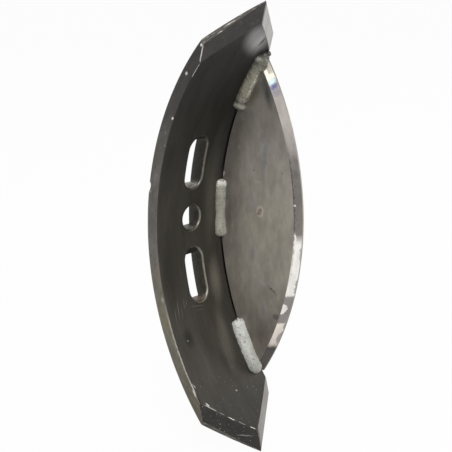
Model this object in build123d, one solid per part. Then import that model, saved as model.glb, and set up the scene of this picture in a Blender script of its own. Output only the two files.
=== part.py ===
from build123d import *
from dataclasses import dataclass
import math
import os

# Cultivator share: a flat steel bar rolled to a bow, pointed and ground at both ends so that it can be
# turned round when one point is worn, with a lens-shaped side knife welded on edge to its concave face.
#
# Frame, in millimetres: +Z runs up the share, +X across it towards the knife, and -Y is the side that
# the concave working face looks to. The origin is on the centre hole's axis, in the bar's back face.

# Driving dimensions of the bar.
BAR_WIDTH = 50.0
BAR_THICKNESS = 6.5
BOW_RADIUS = 137.0             # of the concave working face
BAR_LENGTH = 254.5             # from tip to tip, along the bowed back face
LONG_EDGE_ROUND = 1.0          # rolled corners of the flat stock

# Driving dimensions of the two V points and their ground bevels.
POINT_ANGLE = 90.0             # between the two flanks of a point
BEVEL_RUN = 8.8                # along the bar, from a flank back to where its bevel starts
LAND_AT_SHOULDER = 2.4         # unground thickness left at the widest place, which thins towards the tip

# Driving dimensions of the bolt holes.
HOLE_DIAMETER = 12.0           # clears an 11 mm share bolt
SLOT_LENGTH = 26.5             # end to end
SLOT_WIDTH = 12.0
SLOT_PITCH = 57.0              # between the middles of the two slots
HOLE_EDGE_ROUND = 1.0          # pressed edge round each hole on the concave face

# Driving dimensions of the side knife.
KNIFE_THICKNESS = 4.0
KNIFE_REACH = 50.9             # from the concave face out to the cutting edge, at the middle
KNIFE_TIP_INSET = 2.3          # along the bow, from where the bevel starts back to the knife's tip
KNIFE_BEVEL_WIDTH = 3.0        # of the ground edge, across the knife's face
KNIFE_LAND = 0.85              # thickness left at the cutting edge
KNIFE_GAP = 0.8                # fit-up gap between the knife and the bar


@dataclass(frozen=True)
class Bead:
    """The size of one fillet weld: laid by hand, so no two are quite alike."""

    length: float              # along the bow, over its round ends
    leg: float                 # how far it spreads over the bar and climbs the knife


# Driving dimensions of the three welds between the bar and the knife.
UPPER_BEAD = Bead(length=33.0, leg=4.0)
MIDDLE_BEAD = Bead(length=30.0, leg=3.7)
LOWER_BEAD = Bead(length=30.0, leg=4.6)
MIDDLE_BEAD_RISE = 1.4         # of its middle above the centre hole
UPPER_BEAD_OVERRUN = 1.5       # past the knife's upper tip
TIP_WRAP_RADIUS = 2.9          # of the round end that the upper bead turns across the knife's tip
WELD_ROOT = 1.2                # how far the metal of a bead runs in under the knife

# Sizes that follow from the ones above.
BACK_RADIUS = BOW_RADIUS + BAR_THICKNESS
MIDDLE_RADIUS = BOW_RADIUS + BAR_THICKNESS / 2
BOW_AXIS = Axis((0, -BACK_RADIUS, 0), (1, 0, 0))
HALF_WIDTH = BAR_WIDTH / 2
POINT_DEPTH = HALF_WIDTH / math.tan(math.radians(POINT_ANGLE / 2))
TIP_ANGLE = math.degrees(BAR_LENGTH / 2 / BACK_RADIUS)
SHOULDER_ANGLE = math.degrees((BAR_LENGTH / 2 - POINT_DEPTH) / BACK_RADIUS)
BEVEL_ANGLE = math.degrees(BEVEL_RUN / MIDDLE_RADIUS)
KNIFE_TIP_PLACE = BOW_RADIUS * math.radians(SHOULDER_ANGLE - BEVEL_ANGLE) - KNIFE_TIP_INSET
KNIFE_FACE = HALF_WIDTH - KNIFE_THICKNESS

PARTS_FOLDER = "parts"


def bow_angle(place):
    """The angle up the bow of a place measured along the concave face."""
    return math.degrees(place / BOW_RADIUS)


def on_bow(x, radius, angle):
    """A point at a place across the bar, a radius from the bow's axis and an angle up the bow."""
    turn = math.radians(angle)
    return Vector(x, radius * math.cos(turn) - BACK_RADIUS, radius * math.sin(turn))


def inward_at(angle):
    """The direction from the bow towards its axis, at an angle up the bow."""
    turn = math.radians(angle)
    return Vector(0, -math.cos(turn), -math.sin(turn))


def rolled_bar():
    """The flat stock with its rounded long edges, rolled round the bow's axis."""
    section = Pos(0, -BAR_THICKNESS / 2) * RectangleRounded(BAR_WIDTH, BAR_THICKNESS, LONG_EDGE_ROUND)
    ring = revolve(section, axis=BOW_AXIS, revolution_arc=2 * TIP_ANGLE)
    return ring.rotate(BOW_AXIS, -TIP_ANGLE)


def cutting_block(corner, along, outward):
    """A block whose flat underside lies on the plane through a point, with its body on the outward side."""
    size = BAR_WIDTH
    plane = Plane(origin=corner, x_dir=along, z_dir=outward)
    return plane * Box(2 * size, size, size / 2, align=(Align.CENTER, Align.CENTER, Align.MIN))


def flank_cut():
    """What the saw takes off beside one flank of the upper point, square to the bar's face."""
    shoulder = on_bow(-HALF_WIDTH, BACK_RADIUS, SHOULDER_ANGLE)
    tip = on_bow(0, BACK_RADIUS, TIP_ANGLE)
    along = tip - shoulder
    outward = inward_at((SHOULDER_ANGLE + TIP_ANGLE) / 2).cross(along).normalized()
    return cutting_block((shoulder + tip) * 0.5, along, outward)


def bevel_cut():
    """What the grinder takes off one flank of the upper point: flat, and deeper towards the tip."""
    shoulder_start = on_bow(-HALF_WIDTH, BOW_RADIUS, SHOULDER_ANGLE - BEVEL_ANGLE)
    tip_start = on_bow(0, BOW_RADIUS, TIP_ANGLE - BEVEL_ANGLE)
    land = on_bow(-HALF_WIDTH, BACK_RADIUS - LAND_AT_SHOULDER, SHOULDER_ANGLE)
    along = tip_start - shoulder_start
    outward = (shoulder_start - land).cross(along).normalized()
    return cutting_block((shoulder_start + tip_start) * 0.5, along, outward)


def hole_through(outline):
    """A straight cutter through the bar, square to the bar's middle."""
    return extrude(Plane.XZ * outline, amount=BACK_RADIUS / 2, both=True)


def hole_cutters():
    """The round centre hole, and a slot above and below it for other bolt spacings."""
    cutters = [hole_through(Circle(HOLE_DIAMETER / 2))]
    for side in (-1, 1):
        place = Pos(0, side * SLOT_PITCH / 2)
        cutters.append(hole_through(place * SlotOverall(SLOT_LENGTH, SLOT_WIDTH, rotation=90)))
    return cutters


def hole_rims(bar):
    """The edges where the hole walls come out of the concave face, inside the middle of its width."""
    tolerance = 0.01
    reach = max(SLOT_WIDTH, HOLE_DIAMETER) / 2 + tolerance
    rims = []
    for edge in bar.edges():
        middle = edge @ 0.5
        radius = math.hypot(middle.Y + BACK_RADIUS, middle.Z)
        on_concave_face = abs(radius - BOW_RADIUS) < tolerance
        if on_concave_face and abs(middle.X) < reach and abs(middle.Z) < (SLOT_PITCH + SLOT_LENGTH) / 2:
            rims.append(edge)
    return rims


def share_bar():
    """The bowed bar with both points cut and ground, and its three bolt holes."""
    bar = rolled_bar()
    for cut in (flank_cut(), bevel_cut()):
        for end in (cut, mirror(cut, about=Plane.XY)):
            bar -= end
            bar -= mirror(end, about=Plane.YZ)
    for cutter in hole_cutters():
        bar -= cutter
    return fillet(hole_rims(bar), HOLE_EDGE_ROUND)


def side_knife():
    """The lens-shaped blade: one edge follows the bow at a small gap, the other is ground to cut."""
    corner = on_bow(0, BOW_RADIUS, bow_angle(KNIFE_TIP_PLACE))
    edge_y = -BAR_THICKNESS - KNIFE_REACH
    rise = corner.Y - edge_y
    edge_radius = (corner.Z ** 2 + rise ** 2) / (2 * rise)
    centre_y = edge_y + edge_radius
    profile = Polyline(
        (KNIFE_FACE, centre_y),
        (KNIFE_FACE, edge_y + KNIFE_BEVEL_WIDTH),
        (HALF_WIDTH - KNIFE_LAND, edge_y),
        (HALF_WIDTH, edge_y),
        (HALF_WIDTH, centre_y),
        close=True,
    )
    edge_disc = revolve(make_face(profile), axis=Axis((0, centre_y, 0), (1, 0, 0)))
    bow_disc = Plane.YZ * Pos(-BACK_RADIUS, 0) * Circle(BOW_RADIUS - KNIFE_GAP)
    return edge_disc & extrude(bow_disc, amount=BAR_WIDTH)


def bead_section(bead):
    """The bead's rounded cross-section at the middle of the bow, with the metal drawn in under the knife."""
    round_stock = Pos(KNIFE_FACE, -BAR_THICKNESS) * Circle(bead.leg)
    reach = KNIFE_FACE + WELD_ROOT
    frame = Pos(reach, -BAR_THICKNESS) * Rectangle(BAR_WIDTH, BAR_WIDTH, align=(Align.MAX, Align.CENTER))
    return round_stock & frame


def bead_end(bead):
    """The round lower end of a bead: its cross-section spun half a turn about a line across the bow."""
    below = Pos(0, -BAR_THICKNESS) * Rectangle(2 * BAR_WIDTH, BAR_WIDTH, align=(Align.CENTER, Align.MIN))
    end = revolve(bead_section(bead) & below, axis=Axis((0, -BAR_THICKNESS, 0), (1, 0, 0)), revolution_arc=180)
    return mirror(end, about=Plane.XY)


def weld_bead(bead, place):
    """One fillet bead along the corner between bar and knife, with its middle at a place on the bow."""
    middle = bow_angle(place)
    half_turn = bow_angle(bead.length / 2 - bead.leg)
    run = revolve(bead_section(bead), axis=BOW_AXIS, revolution_arc=2 * half_turn)
    lower = bead_end(bead)
    upper = mirror(lower, about=Plane.XY)
    run = run.rotate(BOW_AXIS, middle - half_turn)
    return run + lower.rotate(BOW_AXIS, middle - half_turn) + upper.rotate(BOW_AXIS, middle + half_turn)


def tip_wrap():
    """The end of the upper bead, turned across the knife's tip and flush with the bar's side."""
    corner = on_bow(KNIFE_FACE, BOW_RADIUS, bow_angle(KNIFE_TIP_PLACE))
    length = KNIFE_THICKNESS - TIP_WRAP_RADIUS
    across = Plane(origin=corner, x_dir=(0, 1, 0), z_dir=(1, 0, 0))
    start = Align.CENTER, Align.CENTER, Align.MIN
    return across * (Cylinder(TIP_WRAP_RADIUS, length, align=start) + Pos(0, 0, length) * Sphere(TIP_WRAP_RADIUS))


def build_share():
    """Every piece of the share by the name of its node."""
    bar = share_bar()
    knife = side_knife()
    upper = weld_bead(UPPER_BEAD, KNIFE_TIP_PLACE + UPPER_BEAD_OVERRUN - UPPER_BEAD.length / 2)
    return {
        "share_bar": bar,
        "side_knife": knife,
        "weld_upper": upper + tip_wrap() - bar - knife,
        "weld_middle": weld_bead(MIDDLE_BEAD, MIDDLE_BEAD_RISE) - bar - knife,
        "weld_lower": weld_bead(LOWER_BEAD, LOWER_BEAD.length / 2 - KNIFE_TIP_PLACE) - bar - knife,
    }


os.makedirs(PARTS_FOLDER, exist_ok=True)
for name, piece in build_share().items():
    export_step(piece, os.path.join(PARTS_FOLDER, name + ".step"))
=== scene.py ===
import logging
import math
import random
from dataclasses import dataclass
from enum import Enum

import bmesh
import bpy
from mathutils import Matrix, Vector, noise


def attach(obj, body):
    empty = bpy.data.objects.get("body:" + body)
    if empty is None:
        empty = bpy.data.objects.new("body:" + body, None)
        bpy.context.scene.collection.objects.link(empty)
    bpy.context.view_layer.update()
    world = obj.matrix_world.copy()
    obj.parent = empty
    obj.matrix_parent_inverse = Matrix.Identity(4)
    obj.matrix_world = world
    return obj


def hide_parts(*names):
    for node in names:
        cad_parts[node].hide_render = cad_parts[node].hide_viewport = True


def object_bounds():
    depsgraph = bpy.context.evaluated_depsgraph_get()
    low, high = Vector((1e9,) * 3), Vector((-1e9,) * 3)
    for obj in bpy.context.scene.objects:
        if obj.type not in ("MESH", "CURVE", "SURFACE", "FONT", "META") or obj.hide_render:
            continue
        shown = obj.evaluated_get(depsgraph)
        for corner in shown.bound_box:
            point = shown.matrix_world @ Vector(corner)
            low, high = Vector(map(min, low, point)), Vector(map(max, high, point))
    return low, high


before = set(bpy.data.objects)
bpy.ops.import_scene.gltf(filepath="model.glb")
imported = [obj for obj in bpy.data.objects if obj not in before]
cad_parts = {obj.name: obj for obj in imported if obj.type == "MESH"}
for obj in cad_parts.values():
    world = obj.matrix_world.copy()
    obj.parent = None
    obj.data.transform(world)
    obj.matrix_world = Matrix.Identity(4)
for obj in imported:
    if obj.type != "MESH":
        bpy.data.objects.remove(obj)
CAD_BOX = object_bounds()

LOG = logging.getLogger("cultivator_share")
MM = 0.001
IMAGE_SIDE = 452
BODY = "root"

Socket = bpy.types.NodeSocket
Inputs = dict[int | str, Socket | float | tuple[float, ...]]


def linear(code: str) -> tuple[float, float, float, float]:
    """Turns an sRGB colour to linear light.

    Args:
        code: The colour as six hex digits.

    Returns:
        Linear red, green and blue, and an alpha of one.
    """
    values = [int(code[i:i + 2], 16) / 255 for i in (0, 2, 4)]
    red, green, blue = (v / 12.92 if v <= 0.04045 else ((v + 0.055) / 1.055) ** 2.4 for v in values)
    return red, green, blue, 1.0


class End(Enum):
    """The two ends of the share."""

    UPPER = 1
    LOWER = -1


class Outline(Enum):
    """The outline of a patch on a surface."""

    ROUND = "round"
    BOX = "box"


@dataclass(frozen=True)
class Bow:
    """The arc that the bar is rolled to, in millimetres. Its axis runs across the share."""

    inner: float = 137.0
    thickness: float = 6.5

    @property
    def outer(self) -> float:
        """The radius of the back face."""
        return self.inner + self.thickness

    def point(self, x: float, radius: float, angle: float) -> Vector:
        """A place on the bow.

        Args:
            x: Place across the share.
            radius: Distance from the bow's axis.
            angle: Angle up the bow, in radians.

        Returns:
            The place in the shared frame, in millimetres.
        """
        return Vector((x, radius * math.cos(angle) - self.outer, radius * math.sin(angle)))

    def along(self, x: float, place: float, height: float = 0.0) -> Vector:
        """A place over the concave face.

        Args:
            x: Place across the share.
            place: Distance up the bow, along the concave face.
            height: Height over the concave face, towards the axis.

        Returns:
            The place in the shared frame, in millimetres.
        """
        return self.point(x, self.inner - height, place / self.inner)


BOW = Bow()


class NodeBoard:
    """The node tree of one material or world."""

    def __init__(self, owner: bpy.types.Material | bpy.types.World) -> None:
        """Starts from an empty tree.

        Args:
            owner: The material or world.
        """
        owner.use_nodes = True
        self.tree = owner.node_tree
        self.tree.nodes.clear()

    def add(self, kind: str, settings: dict | None = None, inputs: Inputs | None = None, out: int | str = 0) -> Socket:
        """Adds a node with its settings and links.

        Args:
            kind: The node's type.
            settings: Its properties by name.
            inputs: What goes into each input: another node's output, or a plain value.
            out: The output to return.

        Returns:
            That output, or the node's first input where it has no output.
        """
        node = self.tree.nodes.new(kind)
        for name, value in (settings or {}).items():
            setattr(node, name, value)
        for name, value in (inputs or {}).items():
            if isinstance(value, Socket):
                self.tree.links.new(value, node.inputs[name])
            else:
                node.inputs[name].default_value = value
        return node.outputs[out] if node.outputs else node.inputs[0]


@dataclass(frozen=True)
class Patch:
    """A stain, a scuff, a bare place, a painted highlight or a painted shade on a surface, in that surface's own two
    coordinates.
    """

    centre: tuple[float, float]
    half_size: tuple[float, float]
    colour: str
    strength: float = 1.0
    softness: float = 0.5
    turn: float = 0.0
    outline: Outline = Outline.ROUND

    def mask(self, board: NodeBoard, place: Socket) -> Socket:
        """Adds the nodes that are one inside the patch and fall to nothing at its edge.

        Args:
            board: The tree to add them to.
            place: The surface's coordinates in millimetres.

        Returns:
            The mask, from 0 to the patch's strength.
        """
        local = board.add(
            "ShaderNodeMapping",
            {"vector_type": "TEXTURE"},
            {
                "Vector": place,
                "Location": (*self.centre, 0.0),
                "Rotation": (0.0, 0.0, math.radians(self.turn)),
                "Scale": (*self.half_size, 1.0),
            },
        )
        flat = board.add("ShaderNodeVectorMath", {"operation": "MULTIPLY"}, {0: local, 1: (1.0, 1.0, 0.0)})
        if self.outline is Outline.ROUND:
            reach = board.add("ShaderNodeVectorMath", {"operation": "LENGTH"}, {0: flat}, "Value")
        else:
            size = board.add("ShaderNodeVectorMath", {"operation": "ABSOLUTE"}, {0: flat})
            u = board.add("ShaderNodeSeparateXYZ", None, {0: size}, "X")
            v = board.add("ShaderNodeSeparateXYZ", None, {0: size}, "Y")
            reach = board.add("ShaderNodeMath", {"operation": "MAXIMUM"}, {0: u, 1: v})
        return board.add(
            "ShaderNodeMapRange",
            {"interpolation_type": "SMOOTHSTEP"},
            {"Value": reach, "From Min": 1.0, "From Max": 1.0 - self.softness, "To Min": 0.0, "To Max": self.strength},
        )


@dataclass(frozen=True)
class Mottle:
    """Cloudy variation between two tones."""

    size: tuple[float, float, float]
    dark: float = 0.35
    light: float = 0.65
    detail: float = 4.0
    seed: float = 0.0

    def mask(self, board: NodeBoard, place: Socket) -> Socket:
        """Adds the nodes of the clouds.

        Args:
            board: The tree to add them to.
            place: Coordinates in millimetres.

        Returns:
            A value from 0 in the dark clouds to 1 in the light ones.
        """
        local = board.add(
            "ShaderNodeMapping",
            {"vector_type": "POINT"},
            {"Vector": place, "Location": (self.seed, 0.0, 0.0), "Scale": tuple(1 / s for s in self.size)},
        )
        cloud = board.add("ShaderNodeTexNoise", None, {"Vector": local, "Scale": 1.0, "Detail": self.detail})
        return board.add(
            "ShaderNodeMapRange",
            {"interpolation_type": "SMOOTHSTEP"},
            {"Value": cloud, "From Min": self.dark, "From Max": self.light},
        )


@dataclass(frozen=True)
class Specks:
    """Scattered spots, such as pits, flecks of scale or bright nicks, along a stretch of the surface."""

    size: tuple[float, float, float]
    colour: str
    threshold: float = 0.66
    strength: float = 0.8
    stretch: tuple[float, float] = (-200.0, 200.0)
    seed: float = 0.0

    def mask(self, board: NodeBoard, place: Socket) -> Socket:
        """Adds the nodes of the spots.

        Args:
            board: The tree to add them to.
            place: Coordinates in millimetres.

        Returns:
            The mask, from 0 to the spots' strength.
        """
        local = board.add(
            "ShaderNodeMapping", None, {"Vector": place, "Location": (self.seed, 3.0, 7.0), "Scale": tuple(1 / s for s in self.size)}
        )
        spot = board.add("ShaderNodeTexNoise", None, {"Vector": local, "Scale": 1.0, "Detail": 1.5})
        along = board.add("ShaderNodeSeparateXYZ", None, {0: place}, "Y")
        spots = board.add(
            "ShaderNodeMapRange",
            {"interpolation_type": "SMOOTHSTEP"},
            {"Value": spot, "From Min": self.threshold, "From Max": self.threshold + 0.05, "To Max": self.strength},
        )
        for limit, fade in ((self.stretch[0], 8.0), (self.stretch[1], -8.0)):
            inside = board.add(
                "ShaderNodeMapRange", {"interpolation_type": "SMOOTHSTEP"}, {"Value": along, "From Min": limit, "From Max": limit + fade}
            )
            spots = board.add("ShaderNodeMath", {"operation": "MULTIPLY"}, {0: spots, 1: inside})
        return spots


class Surface(Enum):
    """How a finish lies on its piece: the coordinates that its patches and streaks follow."""

    BOW = "place across, place up the bow, depth under the concave face"
    SIDE = "depth under the concave face, place up the bow, place across"
    PLATE = "place out from the bar, height, place across"
    EDGE = "place across the ground edge, height, place across the share"


@dataclass(frozen=True)
class SteelFinish:
    """A steel surface: tones that change along it, clouds and patches on them, and a fine grain.

    The roughness has two values, for the darkest and the lightest tone, because scale is rougher than bare metal.
    """

    name: str
    surface: Surface
    tones: tuple[tuple[float, str], ...]
    contrast: float
    clouds: tuple[Mottle, ...]
    roughness: tuple[float, float]
    metallic: float
    grain_size: tuple[float, float, float]
    grain_depth: float
    edge_tint: str = "FFFFFF"
    patches: tuple[Patch, ...] = ()
    specks: tuple[Specks, ...] = ()
    ragged: float = 0.0
    ragged_size: float = 1.4

    def place(self, board: NodeBoard) -> Socket:
        """Adds the surface's own coordinates, in millimetres.

        Args:
            board: The tree to add them to.

        Returns:
            The coordinates.
        """
        at = board.add("ShaderNodeTexCoord", None, None, "Object")
        in_mm = board.add("ShaderNodeVectorMath", {"operation": "MULTIPLY"}, {0: at, 1: (1 / MM,) * 3})
        if self.surface is Surface.PLATE:
            x, y, z = (board.add("ShaderNodeSeparateXYZ", None, {0: in_mm}, axis) for axis in "XYZ")
            return board.add("ShaderNodeCombineXYZ", None, {0: y, 1: z, 2: x})
        centre = -SideKnife.edge_centre if self.surface is Surface.EDGE else BOW.outer
        from_axis = board.add("ShaderNodeVectorMath", {"operation": "ADD"}, {0: in_mm, 1: (0.0, centre, 0.0)})
        x, y, z = (board.add("ShaderNodeSeparateXYZ", None, {0: from_axis}, axis) for axis in "XYZ")
        side_on = board.add("ShaderNodeVectorMath", {"operation": "MULTIPLY"}, {0: from_axis, 1: (0.0, 1.0, 1.0)})
        radius = board.add("ShaderNodeVectorMath", {"operation": "LENGTH"}, {0: side_on}, "Value")
        if self.surface is Surface.EDGE:
            start = SideKnife.edge_radius - SideKnife.bevel_width
            across = board.add("ShaderNodeMath", {"operation": "SUBTRACT"}, {0: radius, 1: start})
            return board.add("ShaderNodeCombineXYZ", None, {0: across, 1: z, 2: x})
        angle = board.add("ShaderNodeMath", {"operation": "ARCTAN2"}, {0: z, 1: y})
        up_bow = board.add("ShaderNodeMath", {"operation": "MULTIPLY"}, {0: angle, 1: BOW.inner})
        depth = board.add("ShaderNodeMath", {"operation": "SUBTRACT"}, {0: radius, 1: BOW.inner})
        if self.surface is Surface.SIDE:
            return board.add("ShaderNodeCombineXYZ", None, {0: depth, 1: up_bow, 2: x})
        return board.add("ShaderNodeCombineXYZ", None, {0: x, 1: up_bow, 2: depth})

    def torn(self, board: NodeBoard, place: Socket) -> Socket:
        """Shifts the coordinates a little at random, so that tones and patches get torn edges.

        Args:
            board: The tree to add the shift to.
            place: The surface's coordinates.

        Returns:
            The shifted coordinates.
        """
        if not self.ragged:
            return place
        tear = board.add(
            "ShaderNodeTexNoise", None, {"Vector": place, "Scale": 1 / self.ragged_size, "Detail": 3.0}, "Color"
        )
        centred = board.add("ShaderNodeVectorMath", {"operation": "SUBTRACT"}, {0: tear, 1: (0.5, 0.5, 0.5)})
        shift = board.add("ShaderNodeVectorMath", {"operation": "SCALE"}, {0: centred, "Scale": self.ragged})
        return board.add("ShaderNodeVectorMath", {"operation": "ADD"}, {0: place, 1: shift})

    def tone(self, board: NodeBoard, place: Socket) -> Socket:
        """Adds the tones that change along the surface.

        Args:
            board: The tree to add them to.
            place: The surface's coordinates.

        Returns:
            The colour.
        """
        first, last = self.tones[0][0], self.tones[-1][0]
        along = board.add("ShaderNodeSeparateXYZ", None, {0: place}, "Y")
        share = board.add("ShaderNodeMapRange", None, {"Value": along, "From Min": first, "From Max": last})
        colour = board.add("ShaderNodeValToRGB", None, {0: share})
        elements = colour.node.color_ramp.elements
        elements[0].color = linear(self.tones[0][1])
        elements[1].color = linear(self.tones[-1][1])
        for at, code in self.tones[1:-1]:
            elements.new((at - first) / (last - first)).color = linear(code)
        return colour

    def colour(self, board: NodeBoard, place: Socket, cloud: Socket) -> Socket:
        """Adds the surface's colour.

        Args:
            board: The tree to add it to.
            place: The surface's coordinates.
            cloud: The clouds' value.

        Returns:
            The colour.
        """
        torn = self.torn(board, place)
        tone = self.tone(board, torn)
        for mark in self.patches + self.specks:
            tone = board.add(
                "ShaderNodeMix", {"data_type": "RGBA"}, {0: mark.mask(board, torn), 6: tone, 7: linear(mark.colour)}, 2
            )
        shade = board.add(
            "ShaderNodeMapRange", None, {"Value": cloud, "To Min": 1 - self.contrast, "To Max": 1 + self.contrast}
        )
        return board.add("ShaderNodeVectorMath", {"operation": "SCALE"}, {0: tone, "Scale": shade})

    def build(self) -> bpy.types.Material:
        """Makes the material.

        Returns:
            The material.
        """
        material = bpy.data.materials.new(self.name)
        board = NodeBoard(material)
        place = self.place(board)
        cloud = self.clouds[0].mask(board, place)
        for more in self.clouds[1:]:
            cloud = board.add("ShaderNodeMix", {"data_type": "FLOAT"}, {0: 0.4, 2: cloud, 3: more.mask(board, place)})
        grain_place = board.add(
            "ShaderNodeMapping", None, {"Vector": place, "Scale": tuple(1 / s for s in self.grain_size)}
        )
        grain = board.add("ShaderNodeTexNoise", None, {"Vector": grain_place, "Scale": 1.0, "Detail": 3.0})
        colour = self.colour(board, place, cloud)
        lightness = board.add("ShaderNodeRGBToBW", None, {0: colour})
        smooth = board.add(
            "ShaderNodeMapRange",
            None,
            {"Value": lightness, "From Max": 0.6, "To Min": self.roughness[0], "To Max": self.roughness[1]},
        )
        rough = board.add("ShaderNodeMath", {"operation": "MULTIPLY_ADD"}, {0: grain, 1: 0.16, 2: smooth})
        relief = board.add("ShaderNodeBump", None, {"Height": grain, "Distance": self.grain_depth * MM, "Strength": 1.0})
        surface = board.add(
            "ShaderNodeBsdfPrincipled",
            None,
            {
                "Base Color": colour,
                "Metallic": self.metallic,
                "Roughness": rough,
                "Specular Tint": linear(self.edge_tint),
                "Normal": relief,
            },
        )
        board.add("ShaderNodeOutputMaterial", None, {"Surface": surface})
        return material


def place_piece(name: str, mesh: bpy.types.Mesh, node: str) -> bpy.types.Object:
    """Puts a finished mesh in the scene in place of its CAD node.

    Args:
        name: The piece's name.
        mesh: Its mesh, in metres.
        node: The CAD node it stands for.

    Returns:
        The new object.
    """
    piece = bpy.data.objects.new(name, mesh)
    bpy.context.scene.collection.objects.link(piece)
    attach(piece, BODY)
    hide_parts(node)
    LOG.info("%s: %d faces", name, len(mesh.polygons))
    return piece


def finished_mesh(name: str, shape: bmesh.types.BMesh, sharp_angle: float) -> bpy.types.Mesh:
    """Turns a shape in millimetres to a smooth-shaded mesh in metres.

    Args:
        name: The mesh's name.
        shape: The shape, which is freed.
        sharp_angle: Edges steeper than this stay sharp, in degrees.

    Returns:
        The mesh.
    """
    bmesh.ops.scale(shape, vec=(MM, MM, MM), verts=shape.verts)
    mesh = bpy.data.meshes.new(name)
    shape.to_mesh(mesh)
    shape.free()
    mesh.shade_smooth()
    mesh.set_sharp_from_angle(angle=math.radians(sharp_angle))
    return mesh


def combined(base: bmesh.types.BMesh, tool: bmesh.types.BMesh, operation: str) -> bmesh.types.BMesh:
    """Cuts one closed shape with another, or joins the two.

    Args:
        base: The first shape, which is freed.
        tool: The second shape, which is freed.
        operation: DIFFERENCE or UNION.

    Returns:
        The result.
    """
    objects = []
    for name, part in (("base", base), ("tool", tool)):
        mesh = bpy.data.meshes.new(name)
        part.to_mesh(mesh)
        part.free()
        objects.append(bpy.data.objects.new(name, mesh))
        bpy.context.scene.collection.objects.link(objects[-1])
    step = objects[0].modifiers.new("step", "BOOLEAN")
    step.object = objects[1]
    step.operation = operation
    step.solver = "EXACT"
    graph = bpy.context.evaluated_depsgraph_get()
    done = bmesh.new()
    done.from_mesh(objects[0].evaluated_get(graph).to_mesh())
    for spare in objects:
        mesh = spare.data
        bpy.data.objects.remove(spare)
        bpy.data.meshes.remove(mesh)
    return done


@dataclass(frozen=True)
class Cut:
    """A flat cut through the bar: a point of its plane and the direction it takes away, in millimetres."""

    origin: Vector
    outward: Vector

    def mirrored(self, across: int, end: End) -> "Cut":
        """The same cut on another flank.

        Args:
            across: 1 keeps the cut on its side, and -1 moves it to the other one.
            end: The end of the share.

        Returns:
            The mirrored cut.
        """
        flip = Vector((across, 1, end.value))
        return Cut(self.origin * flip, self.outward * flip)

    def carries(self, face: bmesh.types.BMFace) -> bool:
        """Whether a face lies in the cut's plane."""
        return abs((face.calc_center_median() - self.origin).dot(self.outward)) < 0.02 and (
            face.normal.dot(self.outward) > 0.99
        )


@dataclass(frozen=True)
class Nick:
    """A dent knocked out of the bar: its middle across, up the bow and in depth, and its half sizes."""

    x: float
    place: float
    height: float
    half_size: tuple[float, float, float]


@dataclass(frozen=True)
class Hole:
    """A bolt hole or slot: where it is, how long its straight part is, and its square neck at the back."""

    place: float
    straight: float
    neck_half_length: float
    neck_shift: float


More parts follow.
